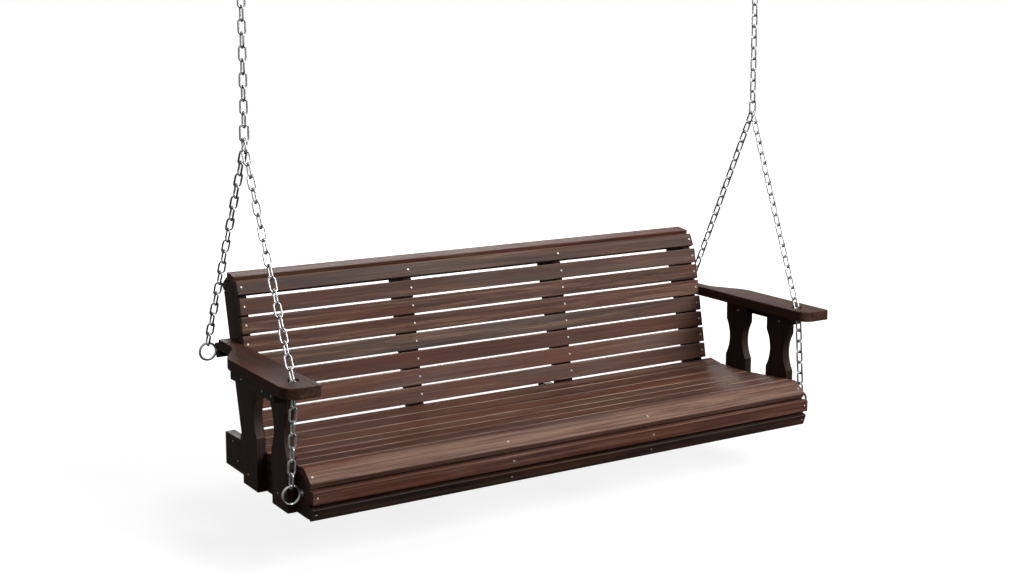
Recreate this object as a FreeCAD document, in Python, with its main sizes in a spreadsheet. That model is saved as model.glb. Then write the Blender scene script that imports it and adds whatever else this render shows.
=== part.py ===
import FreeCAD, Part
import math
import os
import Sketcher

# Porch swing: a slatted roll-back bench for three, hung from two ceiling eyes by two Y-shaped chains.
# Seat frame used for the outlines: X to the right, Y to the back, Z up, with the origin in the middle
# of the lowest front slat's bottom edge.  Every piece is then placed so that the document's origin is
# on the ceiling, midway between the two ceiling eyes.  Left is -X, as seen from the front.

V = FreeCAD.Vector
ORIGIN = V(0, 0, 0)
X_AXIS, Y_AXIS, Z_AXIS = V(1, 0, 0), V(0, 1, 0), V(0, 0, 1)
SIDES = (("left", -1), ("right", 1))

# Driving dimensions: alias, value in mm or degrees, meaning.
DIMENSIONS = (
    ("seat_length", 1524.0, "length of the seat and front slats"),
    ("back_length", 1472.0, "length of the back slats"),
    ("frame_thick", 27.0, "thickness of the rails, uprights and rear brace"),
    ("arm_thick", 28.0, "thickness of the arms and their cleats"),
    ("post_thick", 25.0, "thickness of the arm posts"),
    ("slat_thick", 19.0, "thickness of every slat"),
    ("hairline", 0.1, "gap left between two boards that are screwed together"),
    ("edge_round", 2.5, "rounding of the slats' edges"),
    ("board_round", 2.0, "rounding of the frame boards' edges"),
    ("mid_rail_inner", 204.0, "X of the mid rails' inner faces"),
    ("rail_bottom", 1.0, "Z of the rails' bottom edge"),
    ("rail_rear", 520.0, "Y of the rails' rear end"),
    ("rail_rear_top", 87.0, "Z of the rails' top edge at the rear"),
    ("rail_rear_step", 480.0, "Y where the rails' rear end reaches its full height"),
    ("front_width", 32.0, "width of the two lower front slats"),
    ("nose_width", 41.0, "width of the sloping part of the top front slat"),
    ("nose_flat", 19.0, "width of the flat part of the top front slat"),
    ("nose_round", 16.0, "radius of the bend between those two parts"),
    ("lip_round", 4.5, "rounding of the top front slat's lower front edge"),
    ("seat_slat_width", 57.0, "width of a seat slat"),
    ("seat_last_width", 48.0, "width of the rearmost seat slat"),
    ("seat_slat_gap", 3.0, "gap between seat slats"),
    ("seat_first_y", 65.0, "Y of the first seat slat's front edge"),
    ("seat_first_z", 117.5, "Z of the first seat slat's front edge"),
    ("seat_fall", 5.2, "fall of the seat's front half, degrees"),
    ("back_slat_width", 43.0, "width of a back slat"),
    ("cap_slat_width", 38.0, "width of the highest back slat and of the rear top slat"),
    ("back_slat_pitch", 48.0, "spacing of the back slats along the back"),
    ("back_first_y", 402.5, "Y of the lowest back slat's bottom edge"),
    ("back_first_z", 116.0, "Z of the lowest back slat's bottom edge"),
    ("back_tilt", 11.1, "lean of the back's front face, degrees"),
    ("roll_tilt", 27.9, "lean of the highest back slat, degrees"),
    ("top_tilt", 7.6, "rise of the slat on top of the back, degrees"),
    ("rear_top_tilt", 38.9, "fall of the rear top slat, degrees"),
    ("top_slat_width", 45.0, "width of the slat on top of the back"),
    ("upright_foot", 398.0, "Y of the uprights' front edge at the foot"),
    ("rear_foot", 454.7, "Y of the uprights' rear edge at the foot"),
    ("rear_tilt", 15.4, "lean of the uprights' rear edge, degrees"),
    ("brace_width", 38.0, "width of the rear brace"),
    ("brace_height", 299.0, "Z of the rear brace's middle"),
    ("brace_length", 1532.0, "length of the rear brace"),
    ("arm_top", 327.0, "Z of the arms' top faces"),
    ("arm_inner", 737.0, "X of the arms' inner edges"),
    ("arm_outer", 828.0, "X of the arms' outer edges"),
    ("arm_narrow", 770.0, "X of the arms' outer edges at the rear"),
    ("arm_front", -20.0, "Y of the arms' front ends"),
    ("arm_rear", 533.0, "Y of the arms' rear ends"),
    ("arm_hole_x", 777.0, "X of the chain hole in an arm"),
    ("arm_hole_y", 53.0, "Y of the chain hole in an arm"),
    ("arm_hole_radius", 15.5, "radius of the chain hole in an arm"),
    ("arm_taper_start", 335.0, "Y where the arms start to narrow"),
    ("arm_taper_end", 430.0, "Y where the arms reach their narrow width"),
    ("post_width", 89.0, "width of an arm post"),
    ("post_bottom", 2.0, "Z of the posts' bottom ends"),
    ("post_waist", 16.0, "depth of the hollow in each edge of a post"),
    ("waist_low", 137.0, "Z where the hollows in the posts start"),
    ("waist_high", 245.0, "Z where the hollows in the posts end"),
    ("front_post_y", 75.0, "Y of the front posts' front edges"),
    ("rear_post_y", 253.0, "Y of the rear posts' front edges"),
    ("front_stretcher_height", 38.0, "height of the front stretchers"),
    ("front_stretcher_y", 6.0, "Y of the front stretchers' front faces"),
    ("front_stretcher_z", 36.0, "Z of the front stretchers' lower faces"),
    ("seat_stretcher_height", 84.0, "height of the stretchers under the seat"),
    ("seat_stretcher_y", 56.0, "Y of the first seat stretchers' front faces"),
    ("seat_stretcher_step", 34.0, "distance from the first seat stretchers to the second"),
    ("seat_stretcher_z", 3.0, "Z of the seat stretchers' lower faces"),
    ("ring_radius", 21.75, "centre-line radius of the eye bolts' rings"),
    ("ring_wire", 3.25, "wire radius of the eye bolts' rings"),
    ("bolt_radius", 4.0, "shank radius of the eye bolts"),
    ("bolt_play", 0.05, "radial play of an eye bolt in its hole and nut"),
    ("front_ring_x", 790.0, "X of the front rings' centres"),
    ("front_ring_y", 44.0, "Y of the front rings' centres"),
    ("front_ring_z", 57.0, "Z of the front rings' centres"),
    ("rear_ring_x", 792.0, "X of the rear rings' centres"),
    ("rear_screw_length", 70.0, "length of a rear eye bolt's shank"),
    ("washer_radius", 9.0, "radius of an eye bolt's washers"),
    ("washer_thick", 1.6, "thickness of an eye bolt's washers"),
    ("nut_radius", 7.5, "corner radius of an eye bolt's nut"),
    ("nut_thick", 6.5, "thickness of an eye bolt's nut"),
    ("chain_wire", 2.5, "wire radius of the chain links"),
    ("chain_inside", 12.0, "inside width of a chain link"),
    ("split_inside", 16.0, "inside width of the wide link where a chain divides"),
    ("split_corner", 5.5, "corner radius of that wide link"),
    ("chain_pitch", 31.3, "spacing of the links in the upright chains"),
    ("link_play", 0.3, "gap between two links that hang in each other"),
    ("hang_x", 790.0, "X of the upright chains"),
    ("hang_y", 280.0, "Y of the upright chains"),
    ("split_z", 862.0, "Z of the point where the chains divide"),
    ("eye_radius", 20.0, "centre-line radius of the ceiling eyes"),
    ("eye_wire", 4.0, "wire radius of the ceiling eyes"),
    ("eye_shank_radius", 5.0, "radius of a ceiling eye's shank"),
    ("eye_shank_length", 60.0, "length of a ceiling eye's shank above the ceiling"),
    ("collar_radius", 10.0, "radius of a ceiling eye's collar"),
    ("collar_thick", 4.0, "thickness of a ceiling eye's collar"),
    ("screw_head_radius", 3.2, "radius of a wood screw's head"),
    ("screw_head_height", 0.9, "height of a wood screw's head"),
    ("screw_radius", 2.0, "radius of a wood screw's shank"),
    ("screw_length", 34.0, "length of a wood screw's shank"),
)

# Corner radii of the arms' front ends, inner then outer: the two arms are not mirror images here.
ARM_CORNERS = {"left": (6.0, 38.0), "right": (35.0, 6.0)}

UPPER_LINKS = 13        # links from a ceiling eye to the wide link
REAR_LINKS = 19         # links from the wide link to a rear ring
FRONT_LINKS_ABOVE = 19  # links of the front leg above the arm
FRONT_LINKS_BELOW = 7   # links of the front leg below the arm
BACK_SLATS = 7          # back slats on the straight part of the uprights
SEAT_CURVE = (-1, -1, -1, -0.17, 0.19, 1.75)  # slope of each seat slat as a share of the seat's fall

doc = FreeCAD.newDocument("porch_swing")
sheet = doc.addObject("Spreadsheet::Sheet", "Dims")
for row, (alias, value, meaning) in enumerate(DIMENSIONS, start=1):
    sheet.set(f"A{row}", meaning)
    sheet.set(f"B{row}", str(value))
    sheet.setAlias(f"B{row}", alias)
doc.recompute()
NODES = []


def dim(alias):
    """Value of one driving dimension."""
    return float(sheet.get(alias))


HALF_SEAT = dim("seat_length") / 2
HALF_BACK = dim("back_length") / 2
THICK = dim("slat_thick")
HAIR = dim("hairline")
SLAT_BACK = THICK + HAIR
FRAME = dim("frame_thick")
WIRE = dim("chain_wire")
PLAY = dim("link_play")
END_RAIL_X = HALF_SEAT - FRAME
MID_RAIL_X = dim("mid_rail_inner")
MID_UPRIGHT_X = MID_RAIL_X + FRAME + HAIR
END_UPRIGHT_X = END_RAIL_X - FRAME - HAIR
POST_X = HALF_SEAT + HAIR
HANG_TOP = dim("split_z") + (UPPER_LINKS + 1) * dim("chain_pitch") + WIRE - dim("eye_wire")
EYE_DROP = dim("collar_thick") + 2 * dim("eye_radius") + dim("eye_wire")
CEILING_Z = HANG_TOP + EYE_DROP


# ---------------------------------------------------------------- side-view geometry

def along(angle):
    """Unit vector in the side view, at an angle above the +Y direction."""
    turn = math.radians(angle)
    return V(math.cos(turn), math.sin(turn), 0)


def behind(direction):
    """Unit vector square to a slat's face line, pointing into the slat."""
    return V(direction.y, -direction.x, 0)


class SlatLine:
    """The face of a slat in the side view: a start point, an angle and a width."""

    def __init__(self, start, angle, width):
        self.start = start
        self.angle = angle
        self.width = width
        self.run = along(angle)
        self.end = start + self.run * width

    def underside(self):
        """The two ends of the line on which the slat rests."""
        step = behind(self.run) * SLAT_BACK
        return self.start + step, self.end + step

    def middle(self):
        return (self.start + self.end) * 0.5


def meeting(first, second):
    """Point where two lines of the side view cross; each is a pair of points."""
    run, other = first[1] - first[0], second[1] - second[0]
    gap = second[0] - first[0]
    share = (gap.x * other.y - gap.y * other.x) / (run.x * other.y - run.y * other.x)
    return first[0] + run * share


def seat_slat_lines():
    """Face lines of the seat slats: the front three fall, the rear three rise again."""
    fall = dim("seat_fall")
    angles = [fall * share for share in SEAT_CURVE]
    here = V(dim("seat_first_y"), dim("seat_first_z"), 0)
    lines = []
    for number, angle in enumerate(angles, start=1):
        last = number == len(angles)
        width = dim("seat_last_width") if last else dim("seat_slat_width")
        lines.append(SlatLine(here, angle, width))
        here = lines[-1].end + lines[-1].run * dim("seat_slat_gap")
    return lines


def back_slat_lines():
    """Face lines of the back slats, from the seat up; the highest leans back further."""
    lean = 90 - dim("back_tilt")
    first = V(dim("back_first_y"), dim("back_first_z"), 0)
    step = along(lean) * dim("back_slat_pitch")
    lines = [SlatLine(first + step * i, lean, dim("back_slat_width")) for i in range(BACK_SLATS)]
    roll_start = lines[-1].end + ROLL_GAP
    lines.append(SlatLine(roll_start, 90 - dim("roll_tilt"), dim("cap_slat_width")))
    return lines


# Steps in the side view from the end of one slat's face to the start of the next, up and over the back.
ROLL_GAP = V(5.5, 9.6, 0)
TOP_GAP = V(14.5, 7.5, 0)
REAR_TOP_GAP = V(7, -14.8, 0)

SEAT = seat_slat_lines()
BACK = back_slat_lines()
FRONT_LOW = SlatLine(V(0, 0, 0), 110.8, dim("front_width"))
FRONT_MIDDLE = SlatLine(V(-16, 42, 0), 90, dim("front_width"))
NOSE = SlatLine(V(-4.5, 90, 0), 37.6, dim("nose_width"))
NOSE_FLAT = SlatLine(V(43, 119, 0), -3, dim("nose_flat"))
TOP = SlatLine(BACK[-1].end + TOP_GAP, dim("top_tilt"), dim("top_slat_width"))
REAR_TOP = SlatLine(TOP.end + REAR_TOP_GAP, -dim("rear_top_tilt"), dim("cap_slat_width"))


# ---------------------------------------------------------------- drawing and building helpers

def place(node, x, y=0.0, z=0.0, rotation=FreeCAD.Rotation()):
    """Put a piece at a point of the seat frame, measured from the ceiling origin."""
    node.Placement = FreeCAD.Placement(V(x, y - dim("hang_y"), z - CEILING_Z), rotation)
    node.setExpression("Placement.Base.y", f"{y:.6g} - Dims.hang_y")


def add_node(node, name):
    """List a finished piece for checking and export."""
    node.Label = name
    NODES.append(node)
    return node


def outline_edges(corners):
    """Lines and arcs of a closed outline.

    A corner is (a, b), (a, b, radius) or (a, b, 0, bow): a radius rounds the corner, and a bow
    turns the side that follows it into an arc that stands that far off the straight line.
    """
    points = [V(corner[0], corner[1], 0) for corner in corners]
    count = len(points)
    arrive, leave, arcs = [], [], []
    for i, corner in enumerate(corners):
        radius = corner[2] if len(corner) > 2 else 0
        if not radius:
            arrive.append(points[i])
            leave.append(points[i])
            arcs.append(None)
            continue
        back = (points[i - 1] - points[i]).normalize()
        ahead = (points[(i + 1) % count] - points[i]).normalize()
        half = back.getAngle(ahead) / 2
        arrive.append(points[i] + back * (radius / math.tan(half)))
        leave.append(points[i] + ahead * (radius / math.tan(half)))
        crown = points[i] + (back + ahead).normalize() * (radius / math.sin(half) - radius)
        arcs.append(Part.Arc(arrive[i], crown, leave[i]))
    edges = []
    for i, corner in enumerate(corners):
        if arcs[i]:
            edges.append(arcs[i])
        start, end = leave[i], arrive[(i + 1) % count]
        run = end - start
        if run.Length < 1e-6:
            continue
        bow = corner[3] if len(corner) > 3 else 0
        if bow:
            side = V(-run.y, run.x, 0).normalize()
            edges.append(Part.Arc(start, (start + end) * 0.5 + side * bow, end))
        else:
            edges.append(Part.LineSegment(start, end))
    return edges


def new_sketch(body, plane_role, name="Outline"):
    """An empty sketch on one of the body's own origin planes."""
    sketch = body.newObject("Sketcher::SketchObject", name)
    plane = next(part for part in body.Origin.OriginFeatures if part.Role == plane_role)
    sketch.AttachmentSupport = [(plane, "")]
    sketch.MapMode = "FlatFace"
    return sketch


def draw_outline(sketch, corners):
    """Draw a closed outline in a sketch and join its ends."""
    first = sketch.GeometryCount
    edges = outline_edges(corners)
    for edge in edges:
        sketch.addGeometry(edge, False)
    count = len(edges)
    for i in range(count):
        here, after = first + i, first + (i + 1) % count
        joint = nearest_ends(sketch, here, after)
        sketch.addConstraint(Sketcher.Constraint("Coincident", here, joint[0], after, joint[1]))


def nearest_ends(sketch, one, other):
    """The end numbers (1 or 2) at which two sketch lines or arcs meet."""
    pairs = [(a, b) for a in (1, 2) for b in (1, 2)]
    return min(pairs, key=lambda ends: (sketch.getPoint(one, ends[0])
                                        - sketch.getPoint(other, ends[1])).Length)


def draw_hole(sketch, centre, radius_expression, radius):
    """Add a round hole whose radius follows the sheet."""
    circle = sketch.addGeometry(Part.Circle(V(centre[0], centre[1], 0), Z_AXIS, radius), False)
    number = sketch.addConstraint(Sketcher.Constraint("Radius", circle, radius))
    sketch.renameConstraint(number, "hole_radius")
    sketch.setExpression("Constraints.hole_radius", radius_expression)


def draw_rectangle(sketch, width_alias, height_alias):
    """A rectangle from the sketch origin to +width and -height, both from the sheet."""
    width, height = dim(width_alias), dim(height_alias)
    draw_outline(sketch, ((0, 0), (width, 0), (width, -height), (0, -height)))
    for line, kind in ((0, "Horizontal"), (1, "Vertical"), (2, "Horizontal"), (3, "Vertical")):
        sketch.addConstraint(Sketcher.Constraint(kind, line))
    sketch.addConstraint(Sketcher.Constraint("Coincident", 0, 1, -1, 1))
    wide = sketch.addConstraint(Sketcher.Constraint("DistanceX", 0, 1, 0, 2, width))
    deep = sketch.addConstraint(Sketcher.Constraint("DistanceY", 1, 2, 1, 1, height))
    sketch.renameConstraint(wide, "width")
    sketch.renameConstraint(deep, "depth")
    sketch.setExpression("Constraints.width", f"Dims.{width_alias}")
    sketch.setExpression("Constraints.depth", f"Dims.{height_alias}")


def pad_and_round(body, sketch, length_expression, round_alias, along_axis=None, flat_axis=None):
    """Pad a sketch and round its edges: those along one axis, or those around the two faces."""
    pad = body.newObject("PartDesign::Pad", "Board")
    pad.Profile = sketch
    pad.setExpression("Length", length_expression)
    doc.recompute()
    names = []
    for number, edge in enumerate(pad.Shape.Edges, start=1):
        direction = (edge.Vertexes[-1].Point - edge.Vertexes[0].Point)
        if along_axis and direction.Length > 1 and direction.normalize().cross(along_axis).Length < 1e-6:
            names.append(f"Edge{number}")
        if flat_axis and abs(direction.dot(flat_axis)) < 1e-6:
            names.append(f"Edge{number}")
    fillet = body.newObject("PartDesign::Fillet", "EasedEdges")
    fillet.Base = (pad, names)
    fillet.setExpression("Radius", f"Dims.{round_alias}")
    doc.recompute()
    return body


# ---------------------------------------------------------------- boards

def slat(name, line, width_alias, length_alias):
    """A straight slat across the bench, from its face line in the side view."""
    body = doc.addObject("PartDesign::Body", name)
    sketch = new_sketch(body, "YZ_Plane")
    draw_rectangle(sketch, width_alias, "slat_thick")
    pad_and_round(body, sketch, f"Dims.{length_alias}", "edge_round", along_axis=X_AXIS)
    turn = FreeCAD.Rotation(X_AXIS, line.angle)
    place(body, -dim(length_alias) / 2, line.start.x, line.start.y, turn)
    body.setExpression("Placement.Base.x", f"-Dims.{length_alias} / 2")
    return add_node(body, name)


def top_front_slat():
    """The bent-looking top front slat: a sloping face that rolls over to a short flat."""
    body = doc.addObject("PartDesign::Body", "front_slat_top")
    sketch = new_sketch(body, "YZ_Plane")
    slope, flat = NOSE, NOSE_FLAT
    under_slope = [point - behind(slope.run) * HAIR for point in slope.underside()]
    under_flat = [point - behind(flat.run) * HAIR for point in flat.underside()]
    bend = meeting(under_slope, under_flat)
    crest = meeting((slope.start, slope.end), (flat.start, flat.end))
    edge, nose_round = dim("edge_round"), dim("nose_round")
    draw_outline(sketch, (
        (slope.start.x, slope.start.y, dim("lip_round")),
        (crest.x, crest.y, nose_round),
        (flat.end.x, flat.end.y, edge),
        (under_flat[1].x, under_flat[1].y),
        (bend.x, bend.y),
        (under_slope[0].x, under_slope[0].y, edge)))
    pad = body.newObject("PartDesign::Pad", "Board")
    pad.Profile = sketch
    pad.setExpression("Length", "Dims.seat_length")
    place(body, -HALF_SEAT)
    body.setExpression("Placement.Base.x", "-Dims.seat_length / 2")
    add_node(body, "front_slat_top")


def side_board(name, corners, x, thick_alias, hole=None):
    """A board that stands lengthwise: its outline in the side view, its inner or outer face at x."""
    body = doc.addObject("PartDesign::Body", name)
    sketch = new_sketch(body, "YZ_Plane")
    draw_outline(sketch, corners)
    if hole:
        draw_hole(sketch, hole, "Dims.bolt_radius + Dims.bolt_play", dim("bolt_radius") + dim("bolt_play"))
    pad_and_round(body, sketch, f"Dims.{thick_alias}", "board_round", flat_axis=X_AXIS)
    place(body, x)
    return add_node(body, name)


def rail_outline():
    """A rail: level bottom, front end behind the front slats, top edge under the seat slats."""
    corners = [(FRONT_LOW.underside()[0].x, dim("rail_bottom"))]
    for line in (FRONT_LOW, FRONT_MIDDLE):
        corners += [(point.x, point.y) for point in line.underside()]
    slope, flat = NOSE.underside(), NOSE_FLAT.underside()
    bend = meeting(slope, flat)
    corners += [(point.x, point.y) for point in (slope[0], bend, flat[1])]
    for line in SEAT:
        corners += [(point.x, point.y) for point in line.underside()]
    corners += [(dim("rail_rear_step"), dim("rail_rear_top"), 12)]
    corners += [(dim("rail_rear"), dim("rail_rear_top"), 3), (dim("rail_rear"), dim("rail_bottom"), 3)]
    return corners


def upright_outline():
    """An upright: front edge behind the back slats, rolled top, straight leaning rear edge."""
    straight = (BACK[0].underside()[0], BACK[-2].underside()[1])
    roll, top, rear = BACK[-1].underside(), TOP.underside(), REAR_TOP.underside()
    rear_foot = V(dim("rear_foot"), 0, 0)
    rear_line = (rear_foot, rear_foot + along(90 - dim("rear_tilt")))
    foot_line = (V(0, dim("rail_bottom") + 1, 0), V(1, dim("rail_bottom") + 1, 0))
    points = [
        meeting(straight, foot_line), straight[1], roll[0], meeting(roll, top),
        meeting(top, rear), meeting(rear, rear_line), meeting(rear_line, foot_line)]
    return [(point.x, point.y) for point in points]


def post_outline(front):
    """An arm post: straight ends and a hollow in each edge."""
    bottom, top = dim("post_bottom"), dim("arm_top") - dim("arm_thick") - HAIR
    low, high, bow = dim("waist_low"), dim("waist_high"), dim("post_waist")
    rear = front + dim("post_width")
    return ((front, bottom), (rear, bottom), (rear, low, 0, bow), (rear, high), (rear, top),
            (front, top), (front, high, 0, bow), (front, low))


def arm(name, side, corner_radii):
    """An armrest: rounded front corners, a chain hole, and a narrow tail beside the back."""
    body = doc.addObject("PartDesign::Body", name)
    sketch = new_sketch(body, "XY_Plane")
    inner, outer, narrow = dim("arm_inner"), dim("arm_outer"), dim("arm_narrow")
    front, rear = dim("arm_front"), dim("arm_rear")
    taper_start, taper_end = dim("arm_taper_start"), dim("arm_taper_end")
    bend, eased = 90, 3
    corners = ((inner, front, corner_radii[0]), (outer, front, corner_radii[1]),
               (outer, taper_start, bend), (narrow, taper_end, bend),
               (narrow, rear, eased), (inner, rear, eased))
    draw_outline(sketch, [(corner[0] * side,) + corner[1:] for corner in corners])
    centre = (dim("arm_hole_x") * side, dim("arm_hole_y"))
    draw_hole(sketch, centre, "Dims.arm_hole_radius", dim("arm_hole_radius"))
    pad_and_round(body, sketch, "Dims.arm_thick", "board_round", flat_axis=Z_AXIS)
    place(body, 0, 0, dim("arm_top") - dim("arm_thick"))
    return add_node(body, name)


def box(name, length_expression, width_expression, height_expression, corner):
    """A plain bar with its lowest corner at a point; its sizes follow the sheet."""
    bar = doc.addObject("Part::Box", name)
    bar.setExpression("Length", length_expression)
    bar.setExpression("Width", width_expression)
    bar.setExpression("Height", height_expression)
    bar.Placement = FreeCAD.Placement(corner, FreeCAD.Rotation())
    return bar


def stretchers(name, thick_alias, height_alias, rows, z):
    """Rows of three bars that fill the spaces between the four rails; rows holds each row's Y."""
    inner, outer = MID_RAIL_X + FRAME + HAIR, END_RAIL_X - HAIR
    centre = MID_RAIL_X - HAIR
    spans = ((-outer, -inner), (-centre, centre), (inner, outer))
    bars = [box(f"{name}_bar", f"{end - start:.6g}", f"Dims.{thick_alias}", f"Dims.{height_alias}",
                V(start, y, z))
            for y in rows for start, end in spans]
    group = doc.addObject("Part::Compound", name)
    group.Links = bars
    place(group, 0)
    return add_node(group, name)


def cleat(name, side):
    """The square bar under an arm, screwed to the outer faces of its two posts."""
    thick = dim("arm_thick")
    start = POST_X + dim("post_thick") + HAIR
    reach = "Dims.rear_post_y + Dims.post_width - Dims.front_post_y"
    bar = box(f"{name}_bar", "Dims.arm_thick", reach, "Dims.arm_thick", ORIGIN)
    doc.recompute()
    eased = doc.addObject("Part::Fillet", name)
    eased.Base = bar
    radius = dim("board_round")
    eased.Edges = [(number, radius, radius) for number in range(1, 13)]
    x = start if side > 0 else -start - thick
    place(eased, x, dim("front_post_y"), dim("arm_top") - 2 * thick - HAIR)
    return add_node(eased, name)


def rear_brace():
    """The board behind the uprights, whose ends carry the rear eye bolts."""
    body = doc.addObject("PartDesign::Body", "rear_brace")
    sketch = new_sketch(body, "YZ_Plane")
    draw_rectangle(sketch, "brace_width", "frame_thick")
    pad_and_round(body, sketch, "Dims.brace_length", "board_round", along_axis=X_AXIS)
    turn = FreeCAD.Rotation(X_AXIS, 270 - dim("rear_tilt"))
    start = brace_centre() + brace_up() * (dim("brace_width") / 2) + brace_back() * (FRAME / 2)
    place(body, -dim("brace_length") / 2, start.x, start.y, turn)
    body.setExpression("Placement.Base.x", "-Dims.brace_length / 2")
    return add_node(body, "rear_brace")


def brace_up():
    return along(90 - dim("rear_tilt"))


def brace_back():
    return along(-dim("rear_tilt"))


def brace_centre():
    """Middle of the rear brace in the side view."""
    height = dim("brace_height")
    foot = V(dim("rear_foot"), 0, 0)
    on_edge = foot + brace_up() * (height / math.cos(math.radians(dim("rear_tilt"))))
    return on_edge + brace_back() * (FRAME / 2 + HAIR)


# ---------------------------------------------------------------- metal pieces

def cylinder(name, radius_alias, length_expression, start):
    """A round bar along local +X from a distance before or beyond the ring's centre."""
    bar = doc.addObject("Part::Cylinder", name)
    bar.setExpression("Radius", f"Dims.{radius_alias}")
    bar.setExpression("Height", length_expression)
    bar.Placement = FreeCAD.Placement(V(start, 0, 0), FreeCAD.Rotation(Y_AXIS, 90))
    return bar


def eye(name, ring_alias, wire_alias, bars, centre, rotation):
    """A ring in its local XY plane with bars along +X, fused into one forging."""
    ring = doc.addObject("Part::Torus", f"{name}_ring")
    ring.setExpression("Radius1", f"Dims.{ring_alias}")
    ring.setExpression("Radius2", f"Dims.{wire_alias}")
    forging = doc.addObject("Part::MultiFuse", name)
    forging.Shapes = [ring] + bars
    place(forging, centre.x, centre.y, centre.z, rotation)
    return add_node(forging, name)


def toward(side):
    """Rotation that puts a ring in the X-Z plane with its shank towards the bench."""
    upright = FreeCAD.Rotation(X_AXIS, 90)
    return upright if side < 0 else FreeCAD.Rotation(Z_AXIS, 180).multiply(upright)


def eye_bolts():
    """Front bolts go through the side rails; rear ones are screwed into the brace's ends."""
    ring = dim("ring_radius")
    beyond_rail = 14
    through = dim("front_ring_x") - END_RAIL_X + beyond_rail
    for side_name, side in SIDES:
        name = f"{side_name}_front_eye_bolt"
        shank = cylinder(f"{name}_shank", "bolt_radius", f"{through - ring:.6g}", ring)
        centre = V(side * dim("front_ring_x"), dim("front_ring_y"), dim("front_ring_z"))
        eye(name, "ring_radius", "ring_wire", [shank], centre, toward(side))
        name = f"{side_name}_rear_eye_bolt"
        shank = cylinder(f"{name}_shank", "bolt_radius", "Dims.rear_screw_length", ring)
        middle = brace_centre()
        centre = V(side * dim("rear_ring_x"), middle.x, middle.y)
        eye(name, "ring_radius", "ring_wire", [shank], centre, toward(side))


def ceiling_eyes():
    """Eyes with a collar against the ceiling and a shank that is screwed into the joist."""
    ring, wire, collar = dim("eye_radius"), dim("eye_wire"), dim("collar_thick")
    upright = FreeCAD.Rotation(Y_AXIS, -90).multiply(FreeCAD.Rotation(X_AXIS, 90))
    for side_name, side in SIDES:
        name = f"{side_name}_ceiling_eye"
        neck = cylinder(f"{name}_neck", "eye_shank_radius", "Dims.eye_wire + Dims.collar_thick", ring)
        flange = cylinder(f"{name}_collar", "collar_radius", "Dims.collar_thick", ring + wire)
        shank = cylinder(f"{name}_shank", "eye_shank_radius", "Dims.eye_shank_length", ring + wire + collar)
        centre = V(side * dim("hang_x"), dim("hang_y"), CEILING_Z - ring - wire - collar)
        eye(name, "eye_radius", "eye_wire", [neck, flange, shank], centre, upright)


def bolt_washers():
    """Washers on both faces of each side rail, under the front rings and the nuts."""
    bore = dim("bolt_radius") + dim("bolt_play")
    thick = dim("washer_thick")
    washers = []
    for _, side in SIDES:
        for face in (END_RAIL_X - HAIR - thick, HALF_SEAT + HAIR):
            disc = doc.addObject("Part::Feature", "washer")
            solid = Part.makeCylinder(dim("washer_radius"), thick, ORIGIN, X_AXIS)
            disc.Shape = solid.cut(Part.makeCylinder(bore, thick, ORIGIN, X_AXIS))
            x = face if side > 0 else -face - thick
            disc.Placement = FreeCAD.Placement(V(x, dim("front_ring_y"), dim("front_ring_z")),
                                               FreeCAD.Rotation())
            washers.append(disc)
    group = doc.addObject("Part::Compound", "eye_bolt_washers")
    group.Links = washers
    place(group, 0)
    return add_node(group, "eye_bolt_washers")


def bolt_nuts():
    """Hexagon nuts on the inner ends of the front eye bolts."""
    thick = dim("nut_thick")
    face = END_RAIL_X - 2 * HAIR - dim("washer_thick") - thick
    nuts = []
    for _, side in SIDES:
        block = doc.addObject("Part::Prism", "nut_block")
        block.Polygon = 6
        block.setExpression("Circumradius", "Dims.nut_radius")
        block.setExpression("Height", "Dims.nut_thick")
        bore = doc.addObject("Part::Cylinder", "nut_bore")
        bore.setExpression("Radius", "Dims.bolt_radius + Dims.bolt_play")
        bore.setExpression("Height", "Dims.nut_thick")
        nut = doc.addObject("Part::Cut", "nut")
        nut.Base, nut.Tool = block, bore
        x = face if side > 0 else -face - thick
        nut.Placement = FreeCAD.Placement(V(x, dim("front_ring_y"), dim("front_ring_z")),
                                          FreeCAD.Rotation(Y_AXIS, 90))
        nuts.append(nut)
    group = doc.addObject("Part::Compound", "eye_bolt_nuts")
    group.Links = nuts
    place(group, 0)
    return add_node(group, "eye_bolt_nuts")


# ---------------------------------------------------------------- chains

def link_shape(inside_length, inside_width, corner):
    """A link about its centre: long way along Z, wide way along X."""
    half_width = inside_width / 2 + WIRE
    half_length = inside_length / 2 + WIRE
    corners = [(x * half_width, z * half_length, corner)
               for x, z in ((1, -1), (1, 1), (-1, 1), (-1, -1))]
    path = Part.Wire([edge.toShape() for edge in outline_edges(corners)])
    path.rotate(ORIGIN, X_AXIS, 90)
    first = path.OrderedEdges[0]
    start, tangent = first.valueAt(first.FirstParameter), first.tangentAt(first.FirstParameter)
    section = Part.Wire([Part.Circle(start, tangent, WIRE).toShape()])
    return path.makePipeShell([section], True, False)


def link_frame(top, bottom, flat):
    """Placement of a link between two bearing points; a flat link lies across the bench."""
    down = (bottom - top).normalize()
    wide = X_AXIS - down * X_AXIS.dot(down)
    wide.normalize()
    depth = down.cross(wide).normalize()
    if not flat:
        wide, depth = depth, wide.negative()
    up = down.negative()
    turn = FreeCAD.Rotation(wide, up.cross(wide), up, "XYZ")
    return FreeCAD.Placement((top + bottom) * 0.5, turn)


def links_between(top, bottom, count, flat_first):
    """Placed links that fill a straight run between two bearing points."""
    pitch = (bottom - top).Length / count
    width = dim("chain_inside")
    master = link_shape(pitch + PLAY, width, width / 2 + WIRE)
    step = (bottom - top) * (1.0 / count)
    placed = []
    for number in range(count):
        link = master.copy()
        flat = flat_first if number % 2 == 0 else not flat_first
        link.Placement = link_frame(top + step * number, top + step * (number + 1), flat)
        placed.append(link)
    return placed


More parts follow.
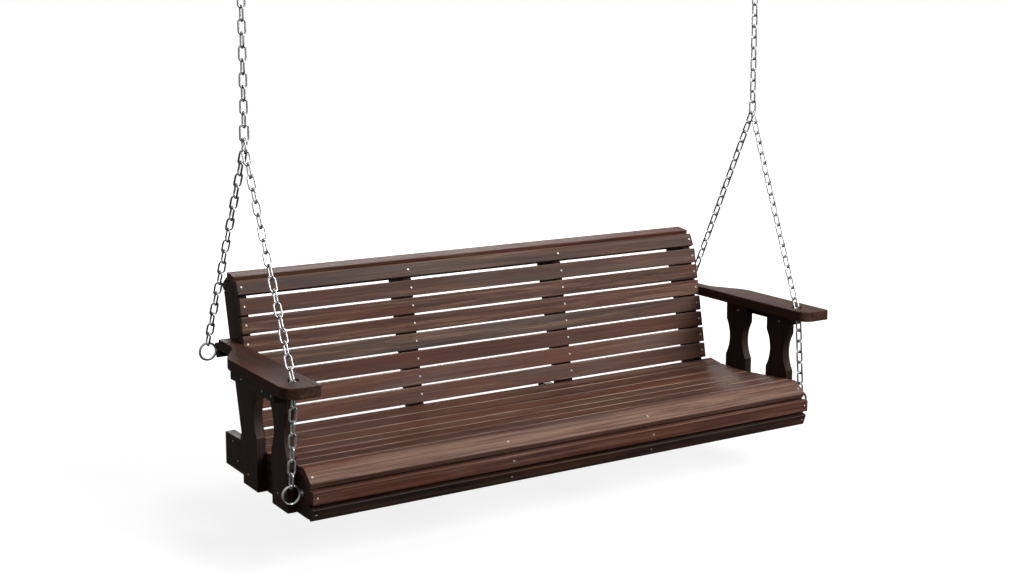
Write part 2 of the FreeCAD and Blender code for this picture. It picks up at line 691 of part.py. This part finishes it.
def chain_node(name, links):
    """One node that holds the separate links of a run of chain."""
    node = doc.addObject("Part::Feature", name)
    node.Shape = Part.makeCompound(links)
    place(node, 0)
    return add_node(node, name)


def bearing(wire_centre, direction, wire_radius):
    """Bearing point of a link whose crown goes round a wire, on the side away from direction."""
    return wire_centre - direction * ((wire_radius + WIRE + PLAY) - (WIRE + PLAY / 2))


def upright_chain(side_name, side):
    """Top link, straight run and the wide link at the lower end."""
    pitch, x, y = dim("chain_pitch"), side * dim("hang_x"), dim("hang_y")
    split = V(x, y, dim("split_z"))
    split_top = split + Z_AXIS * (pitch + WIRE + PLAY / 2)
    run_top = split_top + Z_AXIS * (UPPER_LINKS - 1) * pitch
    top = run_top + Z_AXIS * pitch
    chain_node(f"{side_name}_top_link", links_between(top, run_top, 1, False))
    chain_node(f"{side_name}_upper_chain", links_between(run_top, split_top, UPPER_LINKS - 1, True))
    wide = link_shape(pitch + PLAY, dim("split_inside"), dim("split_corner"))
    wide.Placement = link_frame(split_top, split_top - Z_AXIS * pitch, True)
    chain_node(f"{side_name}_split_link", [wide])
    return top


def rear_chain(side_name, side):
    """Leg of the Y that goes to the rear ring, beside the front leg's top link."""
    shift = X_AXIS * (WIRE + 0.5) * side
    split = V(side * dim("hang_x"), dim("hang_y"), dim("split_z")) - shift
    middle = brace_centre()
    ring_top = V(side * dim("rear_ring_x"), middle.x, middle.y + dim("ring_radius"))
    down = (ring_top - split).normalize()
    start = bearing(split, down, WIRE)
    end = bearing(ring_top, down.negative(), dim("ring_wire"))
    chain_node(f"{side_name}_rear_chain", links_between(start, end, REAR_LINKS, False))


def front_chain(side_name, side):
    """Leg of the Y that goes through the arm and on to the front ring."""
    shift = X_AXIS * (WIRE + 0.5) * side
    split = V(side * dim("hang_x"), dim("hang_y"), dim("split_z")) + shift
    hole = V(side * dim("arm_hole_x"), dim("arm_hole_y"), dim("arm_top"))
    above = hole + V(0, 1.5, -5)
    below = hole + V(side, -5, -35)
    ring_top = V(side * dim("front_ring_x"), dim("front_ring_y"), dim("front_ring_z") + dim("ring_radius"))
    start = bearing(split, (above - split).normalize(), WIRE)
    end = bearing(ring_top, (below - ring_top).normalize(), dim("ring_wire"))
    links = links_between(start, above, FRONT_LINKS_ABOVE, False)
    links += links_between(above, below, 1, FRONT_LINKS_ABOVE % 2 == 1)
    links += links_between(below, end, FRONT_LINKS_BELOW, False)
    chain_node(f"{side_name}_front_chain", links)


# ---------------------------------------------------------------- wood screws

def screw_master():
    """A round-head wood screw: head above local Z = 0, shank below."""
    body = doc.addObject("PartDesign::Body", "wood_screw")
    sketch = new_sketch(body, "XZ_Plane", "HalfSection")
    head, height = dim("screw_head_radius"), dim("screw_head_height")
    shank, length = dim("screw_radius"), dim("screw_length")
    crown, rim, point = head * 0.7, 0.2, 5
    draw_outline(sketch, ((0, height), (crown, height), (head, rim), (head, 0),
                          (shank, 0), (shank, -length + point), (0, -length)))
    turned = body.newObject("PartDesign::Revolution", "Turned")
    turned.Profile = sketch
    turned.ReferenceAxis = (sketch, ["V_Axis"])
    turned.Angle = 360
    doc.recompute()
    return body.Shape.copy()


def screw_node(name, master, spots):
    """Copies of the screw: each spot is the point under its head and the head's direction."""
    screws = []
    for point, outward in spots:
        screw = master.copy()
        lifted = point + outward * (HAIR / 2)
        screw.Placement = FreeCAD.Placement(lifted, FreeCAD.Rotation(Z_AXIS, outward))
        screws.append(screw)
    node = doc.addObject("Part::Feature", name)
    node.Shape = Part.makeCompound(screws)
    place(node, 0)
    return add_node(node, name)


def slat_spots(line, xs):
    """Screw spots in the middle of a slat's face."""
    outward = behind(line.run).negative()
    middle = line.middle()
    return [(V(x, middle.x, middle.y), V(0, outward.x, outward.y)) for x in xs]


def screws():
    """All wood screws, grouped by what they hold."""
    master = screw_master()
    inset = 11
    back_ends, front_ends = HALF_BACK - inset, HALF_SEAT - inset
    back_middles, front_middles = MID_UPRIGHT_X + FRAME / 2, MID_RAIL_X + FRAME / 2
    back_xs = (-back_ends, -back_middles, back_middles, back_ends)
    front_xs = (-front_ends, -front_middles, front_middles, front_ends)
    spots = [spot for line in BACK + [REAR_TOP] for spot in slat_spots(line, back_xs)]
    screw_node("back_slat_screws", master, spots)
    spots = [spot for line in (FRONT_LOW, FRONT_MIDDLE, NOSE) for spot in slat_spots(line, front_xs)]
    screw_node("front_slat_screws", master, spots)
    post_face = POST_X + dim("post_thick")
    cleat_face = post_face + HAIR + dim("arm_thick")
    post_spots, frame_spots = [], []
    for _, side in SIDES:
        outward = X_AXIS * side
        for y, z in ((129, 37), (310, 32)):
            post_spots.append((V(side * post_face, y, z), outward))
        for y in (93, 146, 271):
            post_spots.append((V(side * cleat_face, y, 285), outward))
        for y in (112, 290):
            post_spots.append((V(side * POST_X, y, 277), outward.negative()))
        for y, z in ((468, 72), (438, 28)):
            frame_spots.append((V(side * HALF_SEAT, y, z), outward))
    screw_node("arm_post_screws", master, post_spots)
    screw_node("frame_screws", master, frame_spots)


# ---------------------------------------------------------------- assembly, checks and export

def build():
    """Build every piece of the swing."""
    bolt_hole = (dim("front_ring_y"), dim("front_ring_z"))
    rail, upright = rail_outline(), upright_outline()
    for side_name, side in SIDES:
        outer = END_RAIL_X if side > 0 else -HALF_SEAT
        side_board(f"{side_name}_side_rail", rail, outer, "frame_thick", bolt_hole)
        inner = MID_RAIL_X if side > 0 else -MID_RAIL_X - FRAME
        side_board(f"{side_name}_mid_rail", rail, inner, "frame_thick")
        end = END_UPRIGHT_X if side > 0 else -END_UPRIGHT_X - FRAME
        side_board(f"{side_name}_end_upright", upright, end, "frame_thick")
        middle = MID_UPRIGHT_X if side > 0 else -MID_UPRIGHT_X - FRAME
        side_board(f"{side_name}_mid_upright", upright, middle, "frame_thick")
        post_x = POST_X if side > 0 else -POST_X - dim("post_thick")
        for place_name in ("front", "rear"):
            outline = post_outline(dim(f"{place_name}_post_y"))
            side_board(f"{side_name}_{place_name}_post", outline, post_x, "post_thick")
        arm(f"{side_name}_arm", side, ARM_CORNERS[side_name])
        cleat(f"{side_name}_arm_cleat", side)
    stretchers("front_stretchers", "slat_thick", "front_stretcher_height",
               [dim("front_stretcher_y")], dim("front_stretcher_z"))
    first_row = dim("seat_stretcher_y")
    stretchers("seat_stretchers", "frame_thick", "seat_stretcher_height",
               [first_row, first_row + dim("seat_stretcher_step")], dim("seat_stretcher_z"))
    slat("front_slat_bottom", FRONT_LOW, "front_width", "seat_length")
    slat("front_slat_middle", FRONT_MIDDLE, "front_width", "seat_length")
    top_front_slat()
    for number, line in enumerate(SEAT, start=1):
        width = "seat_last_width" if number == len(SEAT) else "seat_slat_width"
        slat(f"seat_slat_{number}", line, width, "seat_length")
    for number, line in enumerate(BACK, start=1):
        width = "cap_slat_width" if number == len(BACK) else "back_slat_width"
        slat(f"back_slat_{number}", line, width, "back_length")
    slat("top_slat", TOP, "top_slat_width", "back_length")
    slat("rear_top_slat", REAR_TOP, "cap_slat_width", "back_length")
    rear_brace()
    eye_bolts()
    bolt_washers()
    bolt_nuts()
    screws()
    for side_name, side in SIDES:
        upright_chain(side_name, side)
        front_chain(side_name, side)
        rear_chain(side_name, side)
    ceiling_eyes()


def check_document():
    """Stop if any feature failed or any piece is empty or broken."""
    for item in doc.Objects:
        if "Invalid" in item.State or "Error" in item.State:
            raise RuntimeError(f"{item.Label} failed: {item.State}")
    for node in NODES:
        if node.Shape.isNull() or not node.Shape.isValid():
            raise RuntimeError(f"{node.Label} has no valid shape")


def export():
    """Write one STEP file per piece."""
    os.makedirs("parts", exist_ok=True)
    for node in NODES:
        node.Shape.exportStep(f"parts/{node.Label}.step")


build()
doc.recompute()
check_document()
export()
print(len(NODES), "nodes")
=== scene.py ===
import math
import random

import bpy
from mathutils import Matrix, Vector


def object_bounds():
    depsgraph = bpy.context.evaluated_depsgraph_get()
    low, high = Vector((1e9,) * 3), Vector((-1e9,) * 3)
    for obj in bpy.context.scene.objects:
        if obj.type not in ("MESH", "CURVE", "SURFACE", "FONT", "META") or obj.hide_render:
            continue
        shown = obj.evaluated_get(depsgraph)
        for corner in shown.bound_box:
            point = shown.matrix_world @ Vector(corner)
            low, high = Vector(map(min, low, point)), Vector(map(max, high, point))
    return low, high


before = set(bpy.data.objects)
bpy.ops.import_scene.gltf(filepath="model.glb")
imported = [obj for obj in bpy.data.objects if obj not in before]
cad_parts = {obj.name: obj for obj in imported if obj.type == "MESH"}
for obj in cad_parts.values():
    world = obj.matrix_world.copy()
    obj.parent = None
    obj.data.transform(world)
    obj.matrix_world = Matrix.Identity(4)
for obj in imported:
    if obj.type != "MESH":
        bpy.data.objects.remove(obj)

# The porch swing's finishes, floor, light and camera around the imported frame.
# Lengths are in metres in the frame's own axes: +X to the right, +Y back, +Z up.

cad_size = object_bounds()

# ---------------------------------------------------------------- camera

CAMERA_PLACE = Vector((-2.173, -3.382, -0.130))
CAMERA_AZIMUTH = 32.2
CAMERA_PITCH = 8.06
CAMERA_ROLL = 0.13
CAMERA_LENS = 53.7
CAMERA_SHIFT = -0.08

# ---------------------------------------------------------------- floor and light

FLOOR_GAP = 0.13
FLOOR_REACH = 30.0
FLOOR_TONE = 0.34
FLOOR_GLOW = (0.78, 1.0)    # strength below the bench and far from it
FLOOR_FADE = (1.3, 2.6)     # distances over which the glow changes
SKY_SPAN = (-0.7, 0.9)      # heights over which a dome brightens
SKY_DIFFUSE = (0.0, 0.17)   # strength at those heights, as light on the object
SKY_GLOSSY = (0.0, 0.60)    # strength at those heights, as seen in its gloss

# Each panel's name, place from the object's middle, side length and power in watts.
PANELS = (
    ("overhead", (0.3, -0.5, 3.4), 1.4, 54.0),
    ("front_key", (2.6, -4.2, 2.6), 3.2, 310.0),
    ("back_fill", (1.8, 4.2, 0.7), 3.0, 190.0),
)

# ---------------------------------------------------------------- finishes
# Each wood has the colour of its dark streaks, its body, its light streaks and its rubbed edges; that
# edge colour is partly real rubbing and partly a painted highlight.

WOODS = {
    "back": ((0.018, 0.009, 0.007), (0.082, 0.044, 0.033), (0.230, 0.145, 0.108), (0.26, 0.18, 0.14)),
    "seat": ((0.014, 0.006, 0.004), (0.058, 0.029, 0.020), (0.150, 0.085, 0.060), (0.52, 0.38, 0.30)),
    "front": ((0.026, 0.011, 0.008), (0.092, 0.047, 0.036), (0.230, 0.140, 0.110), (0.26, 0.17, 0.13)),
    "arm": ((0.012, 0.005, 0.003), (0.046, 0.021, 0.014), (0.125, 0.060, 0.042), (0.20, 0.11, 0.08)),
    # The frame wood is far darker than the other boards: painted shade for the shaded sides of posts,
    # rails and uprights and for the low boards.
    "frame": ((0.005, 0.0025, 0.002), (0.020, 0.010, 0.007), (0.058, 0.031, 0.022), (0.10, 0.06, 0.045)),
}
WEATHERED = (0.105, 0.095, 0.088)
RED_TINT = (0.150, 0.048, 0.030)
RICHNESS = 1.15
WOOD_SPECULAR = 0.22
WOOD_GLOSS = 0.50           # roughness of a board's smoothest streaks
GLOSS_RANGE = 0.20
EDGE_FACING = (0.985, 0.80)  # a normal's largest part on a flat face and on a rubbed edge with its painted highlight

# Each wood pattern's scale along the grain and across it.
WANDER = (2.2, 9.0)
BANDS = (1.4, 46.0)
STREAKS = (3.2, 150.0)
PORES = (55.0, 1500.0)
BLOTCH = (2.6, 14.0)

GRIME = (0.20, 0.19, 0.18)
SPANGLE_FINENESS = 3.0
SPANGLE_SHADE = 0.78
SCRATCHES = (900.0, 900.0, 120.0)
STEEL_GLOSS_RANGE = 0.22


class Shader:
    """Short calls that build one material's node tree."""

    def __init__(self, name):
        self.material = bpy.data.materials.new(name)
        self.material.use_nodes = True
        self.tree = self.material.node_tree
        self.surface = self.tree.nodes["Principled BSDF"]
        self.place = self.add("TexCoord").outputs["Object"]

    def add(self, kind, inputs=None, **settings):
        node = self.tree.nodes.new("ShaderNode" + kind)
        for key, value in settings.items():
            setattr(node, key, value)
        for key, value in (inputs or {}).items():
            self.feed(node.inputs[key], value)
        return node

    def feed(self, socket, value):
        if isinstance(value, bpy.types.NodeSocket):
            self.tree.links.new(value, socket)
        else:
            socket.default_value = value

    def math(self, operation, first, second=0.0):
        return self.add("Math", {0: first, 1: second}, operation=operation).outputs[0]

    def between(self, value, low, high, start=0.0, end=1.0):
        """value's range low..high, moved to start..end with soft ends."""
        sockets = {"Value": value, "From Min": low, "From Max": high, "To Min": start, "To Max": end}
        return self.add("MapRange", sockets, interpolation_type="SMOOTHSTEP").outputs[0]

    def noise(self, place, scale, detail=4.0, rough=0.55, distortion=0.0):
        sockets = {"Vector": place, "Scale": scale, "Detail": detail, "Roughness": rough,
                   "Distortion": distortion}
        return self.add("TexNoise", sockets).outputs["Fac"]

    def blend(self, amount, first, second, how="MIX"):
        node = self.add("Mix", data_type="RGBA", blend_type=how)
        self.feed(node.inputs["Factor"], amount)
        self.feed(node.inputs[6], self.colour(first))
        self.feed(node.inputs[7], self.colour(second))
        return node.outputs[2]

    def colour(self, value):
        return (*value, 1.0) if isinstance(value, tuple) and len(value) == 3 else value

    def stretched(self, turn, offset, scale):
        """Object coordinates turned about X, moved by offset, then scaled per axis."""
        moved = self.add("Mapping", {"Vector": self.place, "Rotation": (turn, 0.0, 0.0),
                                     "Location": offset}, vector_type="POINT")
        return self.add("VectorMath", {0: moved.outputs[0], 1: scale},
                        operation="MULTIPLY").outputs[0]

    def edges(self, turn):
        """1 on the rounded edges, where the surface faces between the board's own directions."""
        normal = self.add("TexCoord").outputs["Normal"]
        own = self.add("VectorRotate", {"Vector": normal, "Angle": turn},
                       rotation_type="X_AXIS").outputs[0]
        size = self.add("VectorMath", {0: own}, operation="ABSOLUTE").outputs[0]
        parts = self.add("SeparateXYZ", {0: size}).outputs
        largest = self.math("MAXIMUM", self.math("MAXIMUM", parts[0], parts[1]), parts[2])
        return self.between(largest, *EDGE_FACING)

    def bump(self, layers):
        """Bump layers as (height, strength, distance), each on top of the last."""
        normal = None
        for height, strength, distance in layers:
            node = self.add("Bump", {"Height": height, "Strength": strength, "Distance": distance})
            if normal:
                self.feed(node.inputs["Normal"], normal)
            normal = node.outputs[0]
        self.feed(self.surface.inputs["Normal"], normal)


ALONG = {"x": (1, 0, 0), "y": (0, 1, 0), "z": (0, 0, 1)}


def along(axis, scale):
    """Texture scales per axis: lengthwise along the board's grain and across it."""
    lengthwise, across = scale
    return tuple(lengthwise if part else across for part in ALONG[axis])


def wood(name, kind, axis, turn=0.0, tone=1.0, grey=0.0, red=0.0, gloss=WOOD_GLOSS):
    """Dark stained board: streaks along the grain, growth bands, pores, rubbed edges that also carry a
    painted highlight.
    """
    dark, body, light, worn_and_highlight = WOODS[kind]
    draw = random.Random(name)
    offset = tuple(draw.uniform(-9.0, 9.0) for _ in range(3))
    s = Shader(name)

    def pattern(scale, *look):
        return s.noise(s.stretched(turn, offset, along(axis, scale)), 1.0, *look)

    wander = pattern(WANDER, 2.0)
    bands = pattern(BANDS, 4.0, 0.6, 1.1)
    streaks = pattern(STREAKS, 6.0, 0.68, 0.5)
    pores = pattern(PORES, 2.0, 0.7)
    blotch = pattern(BLOTCH, 3.0, 0.5)

    rings = s.math("ADD", s.math("MULTIPLY", bands, 9.0), s.math("MULTIPLY", wander, 16.0))
    rings = s.math("PINGPONG", rings, 1.0)
    grain = s.math("ADD", s.math("MULTIPLY", streaks, 0.58), s.math("MULTIPLY", bands, 0.42))
    stain = s.blend(s.between(grain, 0.39, 0.50), dark, body)
    stain = s.blend(s.between(grain, 0.49, 0.62), stain, light)
    stain = s.blend(s.between(rings, 0.72, 1.0, 0.0, 0.42), stain, dark)
    stain = s.blend(s.between(blotch, 0.50, 0.72, red, red + 0.30), stain, RED_TINT)
    stain = s.blend(s.between(blotch, 0.52, 0.30, grey * 0.4, grey), stain, WEATHERED)
    stain = s.blend(s.between(pores, 0.60, 0.72, 0.0, 0.45), stain, dark)
    # Every rounded edge is lightened: partly real rubbing, partly a painted highlight.
    wear_and_highlight = s.math("MULTIPLY", s.edges(turn), s.between(streaks, 0.38, 0.60, 0.12, 0.60))
    stain = s.blend(wear_and_highlight, stain, worn_and_highlight)
    shade = s.add("HueSaturation", {"Color": stain, "Saturation": RICHNESS, "Value": tone})
    s.feed(s.surface.inputs["Base Color"], shade.outputs[0])
    s.feed(s.surface.inputs["Roughness"], s.between(streaks, 0.3, 0.7, gloss, gloss + GLOSS_RANGE))
    s.surface.inputs["Specular IOR Level"].default_value = WOOD_SPECULAR
    s.bump([(streaks, 0.35, 0.0006), (pores, 0.30, 0.0003), (rings, 0.10, 0.0004)])
    return s.material


def steel(name, tint, gloss, grime, scale):
    """Zinc-coated steel: spangled tone, dull patches, fine scratches and grime."""
    s = Shader(name)
    cells = {"Vector": s.place, "Scale": scale * SPANGLE_FINENESS}
    spangle = s.add("RGBToBW", {0: s.add("TexVoronoi", cells).outputs["Color"]}).outputs[0]
    dull = s.noise(s.place, scale, 4.0, 0.6)
    scratch = s.noise(s.stretched(0.0, (1.0, 2.0, 3.0), SCRATCHES), 1.0, 3.0, 0.6)
    shaded = tuple(SPANGLE_SHADE * part for part in tint)
    colour = s.blend(s.between(spangle, 0.2, 0.8, 0.0, 0.35), tint, shaded)
    colour = s.blend(s.between(dull, 0.52, 0.70, 0.0, grime), colour, GRIME)
    s.feed(s.surface.inputs["Base Color"], colour)
    s.surface.inputs["Metallic"].default_value = 1.0
    s.feed(s.surface.inputs["Roughness"], s.between(dull, 0.3, 0.7, gloss, gloss + STEEL_GLOSS_RANGE))
    s.bump([(dull, 0.25, 0.0004), (scratch, 0.15, 0.00015)])
    return s.material


def paint(node, material):
    """The node's own mesh takes one material."""
    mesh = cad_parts[node].data
    mesh.materials.clear()
    mesh.materials.append(material)


def board(node, kind, axis, turn=0.0, **finish):
    """A wooden node with a wood of its own, its grain along axis and leaning by turn."""
    paint(node, wood(node, kind, axis, turn, **finish))


# ---------------------------------------------------------------- boards

BACK_TILT = math.radians(11.1)
TOP_TILT = math.radians(27.9)
SEAT_BOARDS = 6
BACK_BOARDS = 8
SIDES = ("left", "right")

dice = random.Random(5)
for number in range(1, BACK_BOARDS + 1):
    lean = TOP_TILT if number == BACK_BOARDS else BACK_TILT
    board(f"back_slat_{number}", "back", "x", lean, tone=dice.uniform(0.80, 1.20),
          grey=dice.uniform(0.10, 0.60), red=dice.uniform(0.0, 0.40))
for number in range(1, SEAT_BOARDS + 1):
    board(f"seat_slat_{number}", "seat", "x", tone=dice.uniform(0.84, 1.16),
          grey=dice.uniform(0.0, 0.2), red=dice.uniform(0.05, 0.35))
board("top_slat", "back", "x", tone=0.75, grey=0.1, red=0.4)
board("rear_top_slat", "back", "x", tone=0.8, grey=0.4, red=0.05)
board("front_slat_top", "front", "x", tone=1.05, grey=0.25, red=0.15)
board("front_slat_middle", "front", "x", tone=0.85, grey=0.1, red=0.3)
# The bottom front slat, stretchers, brace, rails, posts and uprights take the dark frame wood, which is
# painted shade.
board("front_slat_bottom", "frame", "x", tone=1.2, grey=0.1)
for name in ("front_stretchers", "seat_stretchers", "rear_brace"):
    board(name, "frame", "x", tone=1.1, grey=0.1)
for side in SIDES:
    board(f"{side}_arm", "arm", "y", tone=0.78, grey=0.12, red=0.1, gloss=0.56)
    for part in ("arm_cleat", "side_rail", "mid_rail"):
        board(f"{side}_{part}", "frame", "y", grey=0.1)
    for part in ("front_post", "rear_post"):
        board(f"{side}_{part}", "frame", "z", grey=0.1)
    for part in ("end_upright", "mid_upright"):
        board(f"{side}_{part}", "frame", "z", BACK_TILT, grey=0.1)

# ---------------------------------------------------------------- metal

chain = steel("chain_zinc", (0.60, 0.60, 0.60), 0.22, 0.40, 160.0)
ring = steel("ring_zinc", (0.74, 0.74, 0.75), 0.22, 0.25, 110.0)
screw = steel("screw_zinc", (0.50, 0.47, 0.44), 0.34, 0.45, 220.0)
for side in SIDES:
    for part in ("top_link", "upper_chain", "split_link", "front_chain", "rear_chain"):
        paint(f"{side}_{part}", chain)
    for part in ("ceiling_eye", "front_eye_bolt", "rear_eye_bolt"):
        paint(f"{side}_{part}", ring)
for name in ("eye_bolt_washers", "eye_bolt_nuts"):
    paint(name, ring)
for name in ("back_slat_screws", "front_slat_screws", "arm_post_screws", "frame_screws"):
    paint(name, screw)

# ---------------------------------------------------------------- floor, light and camera


def floor():
    """A pale floor below the bench. Part of its white is its own glow, so shadows stay faint."""
    corners = ((-1, -1), (1, -1), (1, 1), (-1, 1))
    mesh = bpy.data.meshes.new("floor")
    points = [(FLOOR_REACH * x, FLOOR_REACH * y, 0.0) for x, y in corners]
    mesh.from_pydata(points, [], [(0, 1, 2, 3)])
    plane = bpy.data.objects.new("floor", mesh)
    plane.location.z = cad_size[0].z - FLOOR_GAP
    bpy.context.scene.collection.objects.link(plane)
    s = Shader("floor_white")
    s.surface.inputs["Base Color"].default_value = (FLOOR_TONE, FLOOR_TONE, FLOOR_TONE, 1.0)
    s.surface.inputs["Roughness"].default_value = 1.0
    s.surface.inputs["Specular IOR Level"].default_value = 0.0
    s.surface.inputs["Emission Color"].default_value = (1.0, 1.0, 1.0, 1.0)
    away = s.add("VectorMath", {0: s.place}, operation="LENGTH").outputs["Value"]
    s.feed(s.surface.inputs["Emission Strength"], s.between(away, *FLOOR_FADE, *FLOOR_GLOW))
    mesh.materials.append(s.material)
    plane.visible_diffuse = False
    plane.visible_glossy = False


def soft_light(name, place, aim, size, power):
    """A square panel light at place, facing aim."""
    data = bpy.data.lights.new(name, "AREA")
    data.shape = "SQUARE"
    data.size = size
    data.energy = power
    panel = bpy.data.objects.new(name, data)
    panel.location = place
    panel.rotation_mode = "QUATERNION"
    panel.rotation_quaternion = (Vector(aim) - Vector(place)).to_track_quat("-Z", "Y")
    bpy.context.scene.collection.objects.link(panel)


def studio_sky():
    """White behind the object; a dim dome lights it, and a brighter one shows in its gloss."""
    world = bpy.data.worlds.new("studio")
    bpy.context.scene.world = world
    world.use_nodes = True
    nodes, links = world.node_tree.nodes, world.node_tree.links
    nodes.clear()
    height = nodes.new("ShaderNodeSeparateXYZ")
    links.new(nodes.new("ShaderNodeTexCoord").outputs["Generated"], height.inputs[0])
    path = nodes.new("ShaderNodeLightPath")

    def dome(low, high):
        node = nodes.new("ShaderNodeMapRange")
        names = ("From Min", "From Max", "To Min", "To Max")
        for key, value in zip(names, (*SKY_SPAN, low, high)):
            node.inputs[key].default_value = value
        links.new(height.outputs[2], node.inputs["Value"])
        return node.outputs[0]

    choose = nodes.new("ShaderNodeMix")
    links.new(path.outputs["Is Glossy Ray"], choose.inputs["Factor"])
    links.new(dome(*SKY_DIFFUSE), choose.inputs["A"])
    links.new(dome(*SKY_GLOSSY), choose.inputs["B"])
    seen = nodes.new("ShaderNodeMath")
    seen.operation = "MAXIMUM"
    links.new(choose.outputs["Result"], seen.inputs[0])
    links.new(path.outputs["Is Camera Ray"], seen.inputs[1])
    sky = nodes.new("ShaderNodeBackground")
    sky.inputs["Color"].default_value = (1.0, 1.0, 1.0, 1.0)
    links.new(seen.outputs[0], sky.inputs["Strength"])
    out = nodes.new("ShaderNodeOutputWorld")
    links.new(sky.outputs[0], out.inputs[0])


def camera():
    """The main view, from the left front and a little above the seat."""
    azimuth, pitch, roll = (math.radians(a) for a in (CAMERA_AZIMUTH, CAMERA_PITCH, CAMERA_ROLL))
    forward = Vector((math.sin(azimuth) * math.cos(pitch), math.cos(azimuth) * math.cos(pitch),
                      -math.sin(pitch)))
    level = Vector((math.cos(azimuth), -math.sin(azimuth), 0.0))
    right = Matrix.Rotation(roll, 3, -forward) @ level
    up = right.cross(forward)
    data = bpy.data.cameras.new("photo_view")
    data.lens = CAMERA_LENS
    data.shift_y = CAMERA_SHIFT
    data.clip_end = 200.0
    eye = bpy.data.objects.new("photo_view", data)
    axes = Matrix((right, up, -forward)).transposed()
    eye.matrix_world = Matrix.Translation(CAMERA_PLACE) @ axes.to_4x4()
    bpy.context.scene.collection.objects.link(eye)
    bpy.context.scene.camera = eye


floor()
middle = (cad_size[0] + cad_size[1]) / 2
for name, place, size, power in PANELS:
    soft_light(name, middle + Vector(place), middle, size, power)
studio_sky()
camera()
bpy.context.scene.view_settings.view_transform = "Standard"
